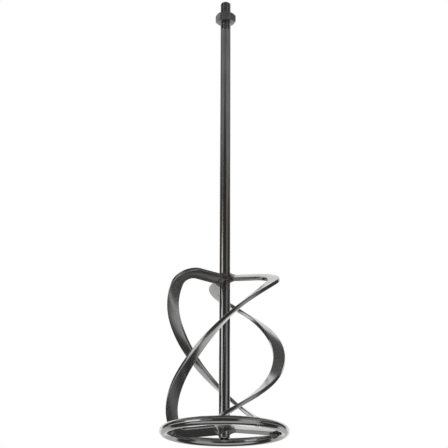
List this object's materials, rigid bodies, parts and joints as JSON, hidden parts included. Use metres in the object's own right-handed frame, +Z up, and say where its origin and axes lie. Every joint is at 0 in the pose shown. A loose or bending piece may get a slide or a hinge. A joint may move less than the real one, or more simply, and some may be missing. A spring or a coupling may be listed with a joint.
{
  "type": "mortar mixing paddle",
  "caption": "Steel mixing paddle: round shaft with an M14 spindle thread and lock nut, spiral flat-bar blades welded between hub and shaft end, and a round guard ring.",
  "frame": {"origin": "centre of the shaft's bottom end face, the lowest point of the paddle", "axes": "+Z up the shaft, towards the thread; +Y away from the side that the blades' hub is usually seen from"},
  "size_m": [0.16, 0.16, 0.5985],
  "materials": {
    "shaft_steel": "dark drawn bar, clear plated, semi-gloss",
    "nut_steel": "plated, semi-gloss",
    "ring_steel": "dark nickel-chrome, glossy",
    "blade_steel": "dark rolled flat bar, clear plated, semi-gloss",
    "weld": "plated weld bead, rippled"
  },
  "bodies": {
    "paddle": {"shaft": "shaft_steel", "ring": "ring_steel", "ring_joint_weld": "weld", "blade_1": "blade_steel", "blade_2": "blade_steel", "blade_3": "blade_steel", "top_weld_1": "weld", "bottom_weld_1": "weld", "ring_weld_1": "weld", "top_weld_2": "weld", "bottom_weld_2": "weld", "ring_weld_2": "weld", "top_weld_3": "weld", "bottom_weld_3": "weld", "ring_weld_3": "weld"},
    "lock_nut": {"lock_nut": "nut_steel"}
  },
  "joints": [
    {"name": "lock_nut_travel", "type": "slide", "parent": "paddle", "child": "lock_nut", "axis": [0, 0, 1], "range_m": [-0.012, 0.0185]}
  ]
}
